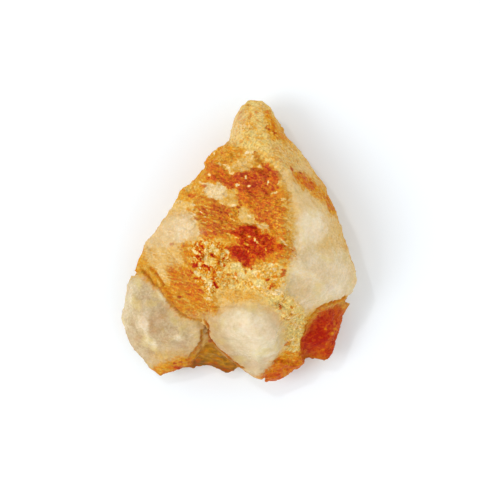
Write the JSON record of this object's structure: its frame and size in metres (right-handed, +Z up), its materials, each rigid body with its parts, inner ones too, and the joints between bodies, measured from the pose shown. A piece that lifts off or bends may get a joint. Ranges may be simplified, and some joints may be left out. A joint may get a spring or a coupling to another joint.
{
  "type": "sunstone",
  "caption": "Rough natural sunstone: a broken wedge-shaped lump of orange feldspar grown together with milky white lobes, lying on a flat cleavage face.",
  "frame": {"origin": "under the middle of the stone's outline, on the surface that it rests on", "axes": "+Z up, +Y from the broad foot to the blunt tip, +X to the right of the stone seen from above with its tip at the top"},
  "size_m": [0.0378, 0.045, 0.019],
  "materials": {
    "feldspar": "rough broken feldspar, milky white to orange-red, with glassy cleavage faces"
  },
  "bodies": {
    "root": {"sunstone": "feldspar"}
  },
  "joints": []
}
